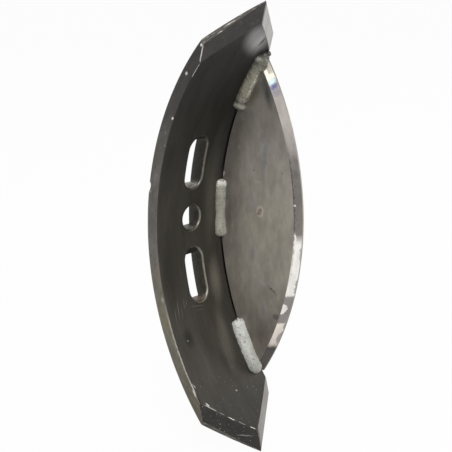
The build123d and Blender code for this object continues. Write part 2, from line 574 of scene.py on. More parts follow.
@dataclass(frozen=True)
class ShareBar:
    """The bowed bar with its ground points and bolt holes, in millimetres."""

    width: float = 50.0
    tip_angle: float = math.radians(50.8068)
    shoulder_angle: float = math.radians(40.8251)
    bevel_angle: float = math.radians(3.5951)
    land_at_shoulder: float = 2.4
    corner_round: float = 1.0
    hole_radius: float = 6.0
    mouth_radius: float = 7.0
    rim_round: float = 0.95
    neck_half_width: float = 4.9
    neck_depth: float = 4.2
    holes: tuple[Hole, ...] = (
        Hole(28.5, 14.5, 11.4, -0.3),
        Hole(0.0, 0.0, 5.1, 0.0),
        Hole(-28.5, 14.5, 11.1, -1.9),
    )
    columns: int = 50
    rows: int = 200
    nicks: tuple[Nick, ...] = (
        Nick(-25.3, 18.8, -6.4, (1.9, 2.8, 1.9)),
        Nick(-25.3, 81.6, -2.6, (0.6, 0.9, 0.6)),
        Nick(-25.2, -35.9, -1.2, (0.5, 1.0, 0.7)),
        Nick(-25.2, 52.0, -0.2, (0.45, 1.3, 0.4)),
        Nick(-25.1, -88.5, 0.0, (0.5, 0.8, 0.5)),
        Nick(-1.2, 127.2, -3.4, (0.9, 1.2, 0.8)),
    )

    def flank_cut(self) -> Cut:
        """The saw cut down one flank of the upper point."""
        shoulder = BOW.point(-self.width / 2, BOW.outer, self.shoulder_angle)
        tip = BOW.point(0.0, BOW.outer, self.tip_angle)
        middle = (self.shoulder_angle + self.tip_angle) / 2
        inward = Vector((0.0, -math.cos(middle), -math.sin(middle)))
        return Cut((shoulder + tip) / 2, inward.cross(tip - shoulder).normalized())

    def bevel_cut(self) -> Cut:
        """The ground bevel along one flank of the upper point."""
        start = self.shoulder_angle - self.bevel_angle
        shoulder = BOW.point(-self.width / 2, BOW.inner, start)
        tip = BOW.point(0.0, BOW.inner, self.tip_angle - self.bevel_angle)
        land = BOW.point(-self.width / 2, BOW.outer - self.land_at_shoulder, self.shoulder_angle)
        return Cut((shoulder + tip) / 2, (shoulder - land).cross(tip - shoulder).normalized())

    def all_of(self, cut: Cut) -> list[Cut]:
        """One cut on each of the four flanks."""
        return [cut.mirrored(across, end) for end in End for across in (1, -1)]

    def rolled_stock(self) -> bmesh.types.BMesh:
        """Rolls the flat stock to its bow.

        Returns:
            The closed bar, longer than its points.
        """
        shape = bmesh.new()
        bmesh.ops.create_grid(shape, x_segments=1, y_segments=1, size=0.5)
        bmesh.ops.scale(shape, vec=(self.width, BOW.thickness, 1.0), verts=shape.verts)
        bmesh.ops.translate(shape, vec=(0.0, -BOW.thickness / 2, 0.0), verts=shape.verts)
        bmesh.ops.bevel(
            shape,
            geom=shape.verts,
            offset=self.corner_round,
            offset_type="OFFSET",
            affect="VERTICES",
            segments=5,
            profile=0.5,
            material=-1,
        )
        wide = [e for e in shape.edges if e.calc_length() > self.width / 2]
        bmesh.ops.subdivide_edges(shape, edges=wide, cuts=self.columns - 1)
        tall = [e for e in shape.edges if 2.0 < e.calc_length()]
        bmesh.ops.subdivide_edges(shape, edges=tall, cuts=3)
        reach = self.tip_angle + math.radians(1.0)
        axis = Vector((0.0, -BOW.outer, 0.0))
        turn = Matrix.Rotation(-reach, 3, "X")
        bmesh.ops.rotate(shape, cent=axis, matrix=turn, verts=shape.verts)
        bmesh.ops.spin(
            shape,
            geom=shape.verts[:] + shape.edges[:] + shape.faces[:],
            cent=axis,
            axis=(1.0, 0.0, 0.0),
            angle=2 * reach,
            steps=self.rows,
        )
        return shape

    def cut_flat(self, shape: bmesh.types.BMesh, cut: Cut) -> None:
        """Cuts the nearer half of the shape along a plane and closes it there.

        Args:
            shape: The closed shape.
            cut: The plane.
        """
        faces = [f for f in shape.faces if f.calc_center_median().z * cut.origin.z > 0.0]
        edges = {e for f in faces for e in f.edges}
        verts = {v for f in faces for v in f.verts}
        bmesh.ops.bisect_plane(
            shape,
            geom=[*verts, *edges, *faces],
            dist=1e-4,
            plane_co=cut.origin,
            plane_no=cut.outward,
            clear_outer=True,
        )
        rim = [e for e in shape.edges if e.is_boundary]
        bmesh.ops.holes_fill(shape, edges=rim, sides=0)

    def hole_point(self, hole: "Hole", flat: Vector, blend: float, radius: float) -> Vector:
        """A point of a hole's outline, between its square neck and its round mouth.

        Args:
            hole: The hole.
            flat: The point of the plain round-ended outline that it comes from.
            blend: 0 for the neck, 1 for the mouth.
            radius: The mouth's radius.

        Returns:
            The point, from the hole's middle.
        """
        core = Vector((0.0, 0.0, max(-hole.straight / 2, min(hole.straight / 2, flat.z))))
        way = (flat - core) / self.hole_radius
        reach = max(abs(way.x), abs(way.z))
        end = hole.neck_half_length - hole.straight / 2
        square = core + Vector((self.neck_half_width * way.x / reach, 0.0, end * way.z / reach + hole.neck_shift))
        return square.lerp(core + way * radius, blend)

    def hole_cutter(self, hole: "Hole") -> bpy.types.Mesh:
        """Makes the cutter of a hole or slot: a square neck that opens to a round mouth with a pressed rim.

        Args:
            hole: The hole.

        Returns:
            The cutter's closed shell.
        """
        shape = bmesh.new()
        made = bmesh.ops.create_circle(shape, cap_ends=True, segments=64, radius=self.hole_radius)["verts"]
        for vert in made:
            if hole.straight and abs(vert.co.y) > 1e-6:
                vert.co.y += math.copysign(hole.straight / 2, vert.co.y)
        level = [v for v in made if abs(v.co.y) < 1e-6]
        if hole.straight and level:
            bmesh.ops.dissolve_verts(shape, verts=level)
        long_sides = [e for e in shape.edges if e.calc_length() > 2.0]
        if long_sides:
            bmesh.ops.subdivide_edges(shape, edges=long_sides, cuts=12)
        loop = shape.verts[:]
        loop_edges = list({e for v in loop for e in v.link_edges if e.is_boundary})
        origin = {v: Vector((v.co.x, 0.0, v.co.y)) for v in loop}
        throat = self.mouth_radius - self.rim_round
        steps = [(0.0, throat, None), (0.0, throat, self.neck_depth), (0.5, throat, self.neck_depth * 0.55)]
        for k in range(9):
            turn = math.radians(90 * k / 8)
            swell, sink = self.rim_round * (1 - math.cos(turn)), self.rim_round * (1 - math.sin(turn))
            steps.append((1.0, throat + swell, sink))
        steps.append((1.0, self.mouth_radius, -4.0))
        for number, (blend, radius, depth) in enumerate(steps):
            if number:
                made = bmesh.ops.extrude_edge_only(shape, edges=loop_edges)["geom"]
                fresh = {v for v in made if isinstance(v, bmesh.types.BMVert)}
                loop_edges = [e for e in made if isinstance(e, bmesh.types.BMEdge) and set(e.verts) <= fresh]
                origin = {v: origin[min(origin, key=lambda old: (old.co - v.co).length)] for v in fresh}
            for vert, flat in origin.items():
                point = self.hole_point(hole, flat, blend, radius)
                z = point.z + hole.place
                face_y = math.sqrt(BOW.inner ** 2 - z ** 2) - BOW.outer
                vert.co = Vector((point.x, 4.0 if depth is None else face_y + depth, z))
        bmesh.ops.holes_fill(shape, edges=[e for e in shape.edges if e.is_boundary], sides=0)
        mesh = bpy.data.meshes.new("hole_cutter")
        shape.to_mesh(mesh)
        shape.free()
        return mesh

    def cutters(self) -> bmesh.types.BMesh:
        """The cutters of the three bolt holes and the nicks.

        Returns:
            Their closed shells.
        """
        shape = bmesh.new()
        for hole in self.holes:
            mesh = self.hole_cutter(hole)
            shape.from_mesh(mesh)
            bpy.data.meshes.remove(mesh)
        for nick in self.nicks:
            middle = BOW.along(nick.x, nick.place, nick.height)
            matrix = (
                Matrix.Translation(middle)
                @ Matrix.Rotation(nick.place / BOW.inner, 4, "X")
                @ Matrix.Diagonal((nick.half_size[0], nick.half_size[2], nick.half_size[1], 1.0))
            )
            bmesh.ops.create_icosphere(shape, subdivisions=3, radius=1.0, matrix=matrix)
        bmesh.ops.recalc_face_normals(shape, faces=shape.faces)
        return shape

    def shape(self) -> bmesh.types.BMesh:
        """Makes the bar's whole shape.

        Returns:
            The shape, in millimetres.
        """
        stock = self.rolled_stock()
        for cut in self.all_of(self.flank_cut()) + self.all_of(self.bevel_cut()):
            self.cut_flat(stock, cut)
        bmesh.ops.recalc_face_normals(stock, faces=stock.faces)
        return combined(stock, self.cutters(), "DIFFERENCE")

    def finish_of(self, face: bmesh.types.BMFace, flanks: list[Cut], bevels: list[Cut]) -> int:
        """Which of the bar's finishes a face has.

        Args:
            face: The face.
            flanks: The cuts down the flanks.
            bevels: The ground bevels.

        Returns:
            The material's place in the piece's slots.
        """
        middle = face.calc_center_median()
        if any(cut.carries(face) for cut in bevels):
            return 2
        if any(cut.carries(face) for cut in flanks):
            return 3
        if abs(middle.x) > self.width / 2 - self.corner_round and abs(face.normal.x) > 0.6:
            return 1
        depth = math.hypot(middle.y + BOW.outer, middle.z) - BOW.inner
        if 0.02 < depth < BOW.thickness - 0.02 and abs(middle.x) < 2 * self.hole_radius and abs(middle.z) < 50.0:
            return 5 if depth < self.rim_round else 4
        return 0

    def build(self, finishes: list[bpy.types.Material]) -> bpy.types.Object:
        """Makes the bar and dresses it.

        Args:
            finishes: Its six materials: faces, rolled edges, bevels, flanks, hole walls and hole rims.

        Returns:
            The piece.
        """
        shape = self.shape()
        flanks = self.all_of(self.flank_cut())
        bevels = self.all_of(self.bevel_cut())
        shape.normal_update()
        for face in shape.faces:
            face.material_index = self.finish_of(face, flanks, bevels)
        mesh = finished_mesh("bowed_bar", shape, 24.0)
        for finish in finishes:
            mesh.materials.append(finish)
        return place_piece("bowed_bar", mesh, "share_bar")


@dataclass(frozen=True)
class SideKnife:
    """The lens-shaped blade on edge, in millimetres."""

    face: float = 21.0
    back: float = 25.0
    gap: float = 0.8
    edge_centre: float = 89.66
    edge_radius: float = 147.06
    bevel_width: float = 3.0
    land: float = 0.85
    tip_height: float = 80.3
    columns: int = 40
    bevel_columns: int = 4
    rows: int = 260

    def inner_y(self, z: float) -> float:
        """Where the edge beside the bar runs at a height."""
        return math.sqrt((BOW.inner - self.gap) ** 2 - z ** 2) - BOW.outer

    def outer_y(self, z: float, inset: float = 0.0) -> float:
        """Where a line parallel to the cutting edge runs at a height."""
        return self.edge_centre - math.sqrt((self.edge_radius - inset) ** 2 - z ** 2)

    def shape(self) -> bmesh.types.BMesh:
        """Makes the blade.

        Returns:
            The closed shape, in millimetres.
        """
        shape = bmesh.new()
        total = self.columns + self.bevel_columns
        bmesh.ops.create_grid(shape, x_segments=total, y_segments=self.rows, size=1.0)
        for vert in shape.verts:
            column = round((vert.co.x + 1) / 2 * total)
            z = math.sin(vert.co.y * math.pi / 2) * self.tip_height
            inner = self.inner_y(z)
            outer = min(inner, self.outer_y(z))
            start = min(inner, self.outer_y(z, self.bevel_width))
            if column <= self.columns:
                y = inner + (start - inner) * column / self.columns
            else:
                y = start + (outer - start) * (column - self.columns) / self.bevel_columns
            rho = math.hypot(y - self.edge_centre, z)
            slope = (self.back - self.land - self.face) / self.bevel_width
            depth = max(0.0, rho - (self.edge_radius - self.bevel_width)) * slope
            vert.co = Vector((self.face + depth, y, z))
        front = shape.faces[:]
        made = bmesh.ops.duplicate(shape, geom=shape.verts[:] + shape.edges[:] + shape.faces[:])["geom"]
        for vert in made:
            if isinstance(vert, bmesh.types.BMVert):
                vert.co.x = self.back
        bmesh.ops.reverse_faces(shape, faces=[f for f in made if isinstance(f, bmesh.types.BMFace)])
        bmesh.ops.bridge_loops(shape, edges=[e for e in shape.edges if e.is_boundary])
        bmesh.ops.remove_doubles(shape, verts=shape.verts, dist=1e-4)
        bmesh.ops.recalc_face_normals(shape, faces=shape.faces)
        LOG.info("knife front faces: %d", len(front))
        return shape

    def build(self, finishes: list[bpy.types.Material]) -> bpy.types.Object:
        """Makes the knife and dresses it.

        Args:
            finishes: Its two materials: rolled plate and ground bevel.

        Returns:
            The piece.
        """
        shape = self.shape()
        shape.normal_update()
        for face in shape.faces:
            ground = -0.9 < face.normal.x < -0.4
            face.material_index = 1 if ground else 0
        mesh = finished_mesh("lens_knife", shape, 20.0)
        for finish in finishes:
            mesh.materials.append(finish)
        return place_piece("lens_knife", mesh, "side_knife")


@dataclass(frozen=True)
class WeldBead:
    """One fillet weld laid by hand along the corner between bar and knife, in millimetres."""

    name: str
    node: str
    middle: float
    length: float
    bar_leg: float
    knife_leg: float
    seed: int
    waist: tuple[float, ...]
    pits: int
    pit_depth: float
    lump: float = 0.07
    blunt: tuple[float, float] = (2.0, 2.0)
    teeth: float = 0.0
    wraps_tip: bool = False
    knife_face: float = 21.0
    root: float = 1.0

    def swell(self, share: float) -> float:
        """How wide the bead is at a share of its length, against its plain width."""
        at = share * (len(self.waist) - 1)
        low = min(int(at), len(self.waist) - 2)
        blend = at - low
        blend = blend * blend * (3 - 2 * blend)
        return self.waist[low] * (1 - blend) + self.waist[low + 1] * blend

    def lumps(self, at: Vector) -> float:
        """How far the metal swells or sinks at a place, as a share of the bead's width."""
        drift = Vector((self.seed * 7.3, self.seed * 3.1, 0.0))
        return self.lump * (noise.noise(at / 3.2 + drift) + noise.noise(at / 1.2 + drift) * 0.5 + noise.noise(at / 0.5 + drift) * 0.3)

    def run(self) -> bmesh.types.BMesh:
        """Makes the bead's run with its lumps, ripples and pits.

        Returns:
            The closed shape, in millimetres.
        """
        shape = bmesh.new()
        bmesh.ops.create_uvsphere(shape, u_segments=96, v_segments=240, radius=1.0)
        draw = random.Random(self.seed)
        pits = [
            (draw.uniform(-0.46, 0.46) * self.length, draw.uniform(12, 78), draw.uniform(0.25, 0.6))
            for _ in range(self.pits)
        ]
        half = self.length / 2
        cap = 0.9 * self.knife_leg
        for vert in shape.verts:
            share = 1 - math.acos(max(-1.0, min(1.0, vert.co.z))) / math.pi
            line = 2 * share - 1
            place = half * (0.55 * line + 0.45 * math.sin(line * math.pi / 2))
            past = min(1.0, max(0.0, abs(place) - (half - cap)) / cap)
            power = self.blunt[0 if place < 0.0 else 1]
            around = (1 - past ** power) ** (1 / power) * self.swell(share)
            turn = math.atan2(vert.co.y, vert.co.x)
            at = Vector((place, math.cos(turn) * self.bar_leg, math.sin(turn) * self.knife_leg))
            ripple = math.sin(place * math.tau / 1.9 + 1.6 * math.cos(turn * 2 - math.pi / 2)) * 0.005
            around *= 1 + self.lumps(at) + ripple
            x = self.bar_leg * math.cos(turn) if math.cos(turn) > 0 else self.root * math.cos(turn)
            height = self.knife_leg * math.sin(turn) if math.sin(turn) > 0 else self.root * math.sin(turn)
            for pit_place, pit_turn, size in pits:
                away = math.hypot(place - pit_place, (math.degrees(turn) - pit_turn) * 0.07)
                if away < size:
                    around -= self.pit_depth * size * (1 - (away / size) ** 2) ** 2
            if place > 0.0:
                tooth = noise.noise(Vector((math.cos(turn) * 3.1, math.sin(turn) * 3.1, self.seed)))
                place += self.teeth * (tooth - 0.35) * past
            vert.co = BOW.along(self.knife_face - x * around, self.middle + place, height * around)
        bmesh.ops.recalc_face_normals(shape, faces=shape.faces)
        return shape

    def blob(self, middle: Vector, half_size: tuple[float, float, float], fineness: int) -> bmesh.types.BMesh:
        """A lump of weld metal.

        Args:
            middle: Its place across, up the bow and over the concave face.
            half_size: Its half sizes that way.
            fineness: How often its faces are divided.

        Returns:
            The closed shape, in millimetres.
        """
        shape = bmesh.new()
        bmesh.ops.create_icosphere(shape, subdivisions=fineness, radius=1.0)
        for vert in shape.verts:
            size = 1 + self.lumps(vert.co * 2.5)
            offset = Vector(vert.co[k] * half_size[k] * size for k in range(3))
            vert.co = BOW.along(*(middle + offset))
        bmesh.ops.recalc_face_normals(shape, faces=shape.faces)
        return shape

    def shape(self) -> bmesh.types.BMesh:
        """Makes the whole bead, with the end that turns across the knife's tip where it has one.

        Returns:
            The closed shape, in millimetres.
        """
        shape = self.run()
        if self.wraps_tip:
            end = self.middle + self.length / 2
            shape = combined(shape, self.blob(Vector((22.2, end - 1.9, 0.3)), (2.6, 3.1, 3.2), 5), "UNION")
            shape = combined(shape, self.blob(Vector((23.1, end + 0.9, 1.2)), (1.3, 1.3, 1.4), 4), "UNION")
        return shape

    def build(self, finish: bpy.types.Material) -> bpy.types.Object:
        """Makes the bead and dresses it.

        Args:
            finish: The weld metal.

        Returns:
            The piece.
        """
        mesh = finished_mesh(self.name, self.shape(), 60.0)
        mesh.materials.append(finish)
        return place_piece(self.name, mesh, self.node)


@dataclass(frozen=True)
class PhotoCamera:
    """The camera at the photograph's viewing angle."""

    azimuth: float = 41.445
    elevation: float = 15.65
    roll: float = 0.291
    distance: float = 0.73593
    target: tuple[float, float, float] = (0.0, -0.0315, 0.0)
    focal_pixels: float = 1520.473
    target_pixel: tuple[float, float] = (229.572, 227.058)

    def build(self) -> bpy.types.Object:
        """Makes the camera and sets it as the scene's own.

        Returns:
            The camera object.
        """
        turn, rise, roll = (math.radians(a) for a in (self.azimuth, self.elevation, self.roll))
        back = Vector((-math.cos(turn) * math.cos(rise), -math.sin(turn) * math.cos(rise), math.sin(rise)))
        right = Vector((math.sin(turn), -math.cos(turn), 0.0))
        up = back.cross(right)
        level = Matrix((right, up, back)).transposed()
        data = bpy.data.cameras.new("photo_camera")
        data.sensor_width = 36.0
        data.lens = self.focal_pixels * data.sensor_width / IMAGE_SIDE
        data.shift_x = (IMAGE_SIDE / 2 - self.target_pixel[0]) / IMAGE_SIDE
        data.shift_y = (self.target_pixel[1] - IMAGE_SIDE / 2) / IMAGE_SIDE
        camera = bpy.data.objects.new("photo_camera", data)
        camera.matrix_world = (
            Matrix.Translation(Vector(self.target) + back * self.distance)
            @ (level @ Matrix.Rotation(roll, 3, "Z")).to_4x4()
        )
        bpy.context.scene.collection.objects.link(camera)
        bpy.context.scene.camera = camera
        return camera


@dataclass(frozen=True)
class Lamp:
    """A soft box: where it stands, what it looks at, its size and its power, in metres and watts."""

    name: str
    place: tuple[float, float, float]
    size: float
    power: float
    target: tuple[float, float, float] = (0.0, -0.03, 0.0)

    def build(self) -> None:
        """Hangs the soft box."""
        data = bpy.data.lights.new(self.name, "AREA")
        data.shape = "DISK"
        data.size = self.size
        data.energy = self.power
        lamp = bpy.data.objects.new(self.name, data)
        look = Vector(self.target) - Vector(self.place)
        lamp.matrix_world = Matrix.Translation(self.place) @ look.to_track_quat("-Z", "Y").to_matrix().to_4x4()
        bpy.context.scene.collection.objects.link(lamp)


@dataclass(frozen=True)
class Studio:
    """A plain white studio: floor, surroundings and soft boxes."""

    floor_size: float = 6.0
    room_light: float = 0.45
    floor_glow: float = 0.96
    lamps: tuple[Lamp, ...] = (
        Lamp("key", (-0.7, -0.75, 1.0), 0.7, 9.0),
        Lamp("side", (0.9, -0.5, 0.35), 0.6, 5.0),
    )

    def seen_directly(self, board: NodeBoard) -> Socket:
        """One for what the camera, a mirror or glass sees, and nothing for the light that falls on the object."""
        rays = [
            board.add("ShaderNodeLightPath", None, None, f"Is {kind} Ray")
            for kind in ("Camera", "Glossy", "Transmission")
        ]
        both = board.add("ShaderNodeMath", {"operation": "MAXIMUM"}, {0: rays[0], 1: rays[1]})
        return board.add("ShaderNodeMath", {"operation": "MAXIMUM"}, {0: both, 1: rays[2]})

    def surroundings(self) -> None:
        """White all round to the eye, and a plain soft light on the object."""
        world = bpy.data.worlds.new("studio")
        bpy.context.scene.world = world
        board = NodeBoard(world)
        strength = board.add(
            "ShaderNodeMapRange", None, {"Value": self.seen_directly(board), "To Min": self.room_light, "To Max": 1.0}
        )
        glow = board.add("ShaderNodeBackground", None, {"Color": (1.0, 1.0, 1.0, 1.0), "Strength": strength})
        board.add("ShaderNodeOutputWorld", None, {"Surface": glow})

    def floor(self) -> None:
        """A pale floor under the lower tip, which keeps the share's shadow."""
        shape = bmesh.new()
        bmesh.ops.create_grid(shape, x_segments=1, y_segments=1, size=self.floor_size)
        bmesh.ops.translate(shape, vec=(0.0, 0.0, CAD_BOX[0].z), verts=shape.verts)
        mesh = bpy.data.meshes.new("floor")
        shape.to_mesh(mesh)
        shape.free()
        material = bpy.data.materials.new("pale_paper")
        board = NodeBoard(material)
        paper = board.add("ShaderNodeBsdfDiffuse", None, {"Color": linear("F4F4F4")})
        glow = board.add("ShaderNodeEmission", None, {"Color": (1.0, 1.0, 1.0, 1.0), "Strength": 1.0})
        share = board.add(
            "ShaderNodeMath", {"operation": "MULTIPLY"}, {0: self.seen_directly(board), 1: self.floor_glow}
        )
        surface = board.add("ShaderNodeMixShader", None, {0: share, 1: paper, 2: glow})
        board.add("ShaderNodeOutputMaterial", None, {"Surface": surface})
        mesh.materials.append(material)
        floor = bpy.data.objects.new("floor", mesh)
        bpy.context.scene.collection.objects.link(floor)

    def build(self) -> None:
        """Sets up the studio."""
        bpy.context.scene.view_settings.view_transform = "Standard"
        self.surroundings()
        self.floor()
        for lamp in self.lamps:
            lamp.build()


# Hot-rolled spring steel under blue-black mill scale: very dark, satin, with soft streaks along the bow, painted light
# beside the knife against its shade, a painted highlight as a thin bright line along the rounded front corner, painted
# highlights along the bevels' edges and painted black shade in the gap under the knife.
ROLLED_SCALE = SteelFinish(
    name="mill_scale_on_spring_steel",
    surface=Surface.BOW,
    tones=(
        (-125.0, "2C2A26"),
        (-100.0, "302E2A"),
        (-85.0, "37342F"),
        (-70.0, "4A4741"),
        (-50.0, "4C4943"),
        (-30.0, "48453F"),
        (10.0, "43403B"),
        (60.0, "353330"),
        (95.0, "3A3836"),
        (125.0, "4A4744"),
    ),
    contrast=0.16,
    clouds=(Mottle((8.0, 30.0, 8.0)), Mottle((2.2, 14.0, 2.0), 0.3, 0.7, seed=20.0)),
    roughness=(0.46, 0.36),
    metallic=0.5,
    edge_tint="9A9A9A",
    grain_size=(0.5, 0.9, 0.5),
    grain_depth=0.015,
    patches=(
        Patch((8.0, 100.0), (18.0, 10.0), "A9A6A6", 0.9, 0.9, -43.7),
        Patch((4.0, 105.0), (9.0, 6.0), "8C8A8A", 0.6, 1.0, -43.7),
        Patch((13.2, 97.5), (1.6, 4.5), "3A3733", 0.85, 0.9, -8.0),
        Patch((18.0, 89.5), (4.0, 3.0), "3A3733", 0.8, 0.9),
        # Painted light: a lighter stretch beside the knife, against the shade that the knife casts there.
        Patch((14.0, 12.0), (8.0, 42.0), "67635B", 0.7, 1.0),
        Patch((13.0, -34.0), (6.0, 16.0), "8A857B", 0.7, 1.0, -4.0),
        Patch((8.5, -62.0), (6.0, 24.0), "7A756C", 0.65, 1.0, -6.0),
        Patch((19.0, -62.0), (4.0, 22.0), "4A4640", 0.5, 1.0, 5.0),
        Patch((-18.0, -22.0), (8.0, 30.0), "2C2925", 0.6, 1.0),
        Patch((-21.0, -70.0), (9.0, 26.0), "2F2C28", 0.6, 1.0),
        Patch((1.0, 2.0), (12.0, 11.0), "383530", 0.4, 1.0),
        Patch((-15.5, -58.0), (4.5, 7.0), "2B2925", 0.7, 0.9),
        Patch((-16.3, -59.0), (0.35, 0.5), "B5B2A8", 0.9, 0.5),
        Patch((-3.5, -44.2), (6.5, 0.5), "706C63", 0.6, 0.8, -10.0),
        Patch((-2.0, -46.4), (5.0, 0.4), "6B675E", 0.45, 0.8, -8.0),
        Patch((-19.5, -45.0), (0.28, 5.0), "8E8A82", 0.6, 0.9, -8.0),
        Patch((-17.0, -43.0), (0.26, 5.5), "99958C", 0.6, 0.9, -8.0),
        Patch((-14.8, -44.5), (0.24, 5.0), "8E8A82", 0.5, 0.9, -8.0),
        Patch((-12.4, -41.5), (0.28, 4.0), "8E8A82", 0.5, 0.9, -8.0),
        Patch((-10.6, -41.0), (0.26, 2.5), "99958C", 0.5, 0.9, -8.0),
        # Painted highlight: a thin bright line along the rounded front corner.
        Patch((-24.5, -61.0), (0.24, 27.0), "C9C5BC", 0.6, 0.6, 0.0, Outline.BOX),
        Patch((-24.4, -81.0), (0.4, 5.0), "D5D2CA", 0.6, 0.8),
        Patch((-23.4, -80.6), (0.3, 2.0), "C9C5BC", 0.6, 0.8, 20.0),
        # Painted highlight: the thin bright line along the rounded front corner, at the upper end.
        Patch((-24.5, 85.0), (0.3, 5.0), "D5D2CA", 0.7, 0.5, 0.0, Outline.BOX),
        Patch((-20.6, -91.6), (0.7, 1.8), "C9C5BC", 0.7, 0.8, 30.0),
        # Painted highlights: broken bright lines along the edge where the lower bevel meets the concave face.
        Patch((-19.8, -93.6), (4.6, 0.25), "B5B1A8", 0.7, 0.6, -43.7, Outline.BOX),
        Patch((-11.0, -102.4), (2.6, 0.3), "C9C5BC", 0.8, 0.6, -43.7, Outline.BOX),
        Patch((-6.4, -106.6), (2.4, 0.2), "A5A198", 0.6, 0.6, -43.7, Outline.BOX),
        Patch((-1.8, -111.0), (1.9, 0.35), "C9C5BC", 0.8, 0.6, -43.7, Outline.BOX),
        Patch((-15.0, -98.3), (2.0, 0.2), "A5A198", 0.5, 0.6, -43.7, Outline.BOX),
        # Painted highlight: a light line along the edge where the upper bevel meets the concave face.
        Patch((-12.5, 101.2), (17.4, 0.3), "6F6C68", 0.5, 0.6, 43.7, Outline.BOX),
        Patch((1.5, -90.5), (0.6, 0.5), "A5A29A", 0.8, 0.6),
        # Painted shade: near-black boxes on the concave face along and under the knife, between the beads, where the
        # knife shades the gap.
        Patch((22.7, 38.0), (2.8, 21.0), "060605", 0.95, 0.4, 0.0, Outline.BOX),
        Patch((22.7, -35.0), (2.8, 24.0), "060605", 0.95, 0.4, 0.0, Outline.BOX),
    ),
    specks=(
        Specks((0.9, 1.1, 0.9), "8A867D", 0.7, 0.5, (-125.0, -72.0)),
        Specks((1.6, 2.6, 1.6), "22201D", 0.68, 0.35),
    ),
    ragged=0.5,
)

# The rolled long edges: thinner, grey-brown scale, mottled by handling.
ROLLED_EDGE = SteelFinish(
    name="mill_scale_on_rolled_edge",
    surface=Surface.SIDE,
    tones=(
        (-125.0, "4F4A40"),
        (-88.0, "655F52"),
        (-60.0, "6D695D"),
        (-45.0, "75715F"),
        (-20.0, "6B6760"),
        (5.0, "635E5C"),
        (20.0, "625E57"),
        (45.0, "56534E"),
        (60.0, "454240"),
        (85.0, "3A3735"),
        (110.0, "403D3A"),
    ),
    contrast=0.18,
    clouds=(Mottle((3.0, 7.0, 3.0)), Mottle((0.9, 2.6, 0.9), 0.3, 0.7, seed=9.0)),
    roughness=(0.55, 0.45),
    metallic=0.4,
    grain_size=(0.5, 0.9, 0.5),
    grain_depth=0.03,
    patches=(
        # Painted highlight: the side's part of the bright line along the rounded front corner.
        Patch((0.3, -61.0), (0.3, 27.0), "B5B1A8", 0.45, 0.8, 0.0, Outline.BOX),
        Patch((4.4, 96.8), (1.0, 1.2), "E0DDD6", 0.9, 0.7),
        Patch((3.4, 80.4), (1.0, 1.3), "D8D5CE", 0.85, 0.7),
        Patch((0.6, 56.7), (0.6, 1.0), "E0DDD6", 0.9, 0.6),
        Patch((5.9, 18.8), (1.6, 3.2), "E4E2DC", 0.9, 0.6),
        Patch((5.8, 2.0), (0.9, 9.0), "A3A09A", 0.6, 0.9),
        Patch((2.5, 24.0), (2.2, 7.0), "7C7078", 0.5, 1.0),
        Patch((2.0, -22.0), (2.5, 7.0), "76685F", 0.5, 1.0),
        Patch((1.2, -36.0), (1.2, 2.0), "A9A69D", 0.7, 0.8),
        Patch((0.4, -84.0), (0.5, 3.0), "D8D5CE", 0.7, 0.8),
    ),
    specks=(Specks((0.8, 1.8, 0.8), "9A968B", 0.67, 0.45, (-110.0, 60.0)), Specks((0.7, 2.2, 0.7), "2F2D2A", 0.66, 0.5)),
    ragged=0.7,
)

# Coarse-ground bevels, dark in their base tone, smooth enough to shine at a low angle; the far bevels at both ends
# carry a painted reflection of the white surroundings that makes them light.
GROUND_BEVEL = SteelFinish(
    name="ground_and_hardened_steel",
    surface=Surface.BOW,
    tones=((-125.0, "2F2D2A"), (125.0, "403D3B")),
    contrast=0.16,
    clouds=(Mottle((7.0, 7.0, 7.0)), Mottle((0.7, 8.0, 0.7), 0.3, 0.7, seed=4.0)),
    roughness=(0.36, 0.26),
    metallic=0.6,
    grain_size=(0.35, 3.0, 0.35),
    grain_depth=0.02,
    patches=(
        # Painted reflection: the far bevels at both ends painted light, as the white surroundings they reflect.
        Patch((16.0, 108.0), (15.5, 24.0), "A29E9B", 0.92, 0.15, 0.0, Outline.BOX),
        Patch((16.0, -108.0), (15.5, 24.0), "86827C", 0.92, 0.15, 0.0, Outline.BOX),
        # Painted highlight: the bright line along the rounded front corner, on the upper bevel.
        Patch((-24.8, 93.0), (0.4, 5.5), "D0CCC4", 0.8, 0.5, 0.0, Outline.BOX),
        Patch((-6.5, -112.0), (6.0, 0.35), "8E8B82", 0.7, 0.8, -28.0),
        Patch((-1.6, -121.5), (1.8, 1.2), "B0ADA4", 0.7, 0.9, -40.0),
        Patch((-12.5, -115.3), (17.5, 0.5), "6E6B64", 0.6, 0.7, -43.7, Outline.BOX),
    ),
    specks=(Specks((0.7, 0.9, 0.7), "B0ADA4", 0.69, 0.6, (-130.0, -80.0)), Specks((1.4, 0.5, 1.0), "8E8B84", 0.7, 0.4)),
    ragged=0.5,
)

# Sheared flanks: torn in layers along the cut, dark, with bright smeared streaks.
SHEARED_FLANK = SteelFinish(
    name="sheared_steel",
    surface=Surface.BOW,
    tones=((-125.0, "55524C"), (125.0, "4B4845")),
    contrast=0.3,
    clouds=(Mottle((5.0, 5.0, 0.6)), Mottle((1.6, 1.6, 0.4), 0.3, 0.7, seed=6.0)),
    roughness=(0.5, 0.35),
    metallic=0.6,
    grain_size=(0.9, 0.9, 0.25),
    grain_depth=0.05,
    specks=(Specks((5.0, 5.0, 0.4), "AAA69E", 0.6, 0.75), Specks((3.0, 3.0, 0.5), "24221F", 0.62, 0.7, seed=5.0)),
    ragged=0.4,
)

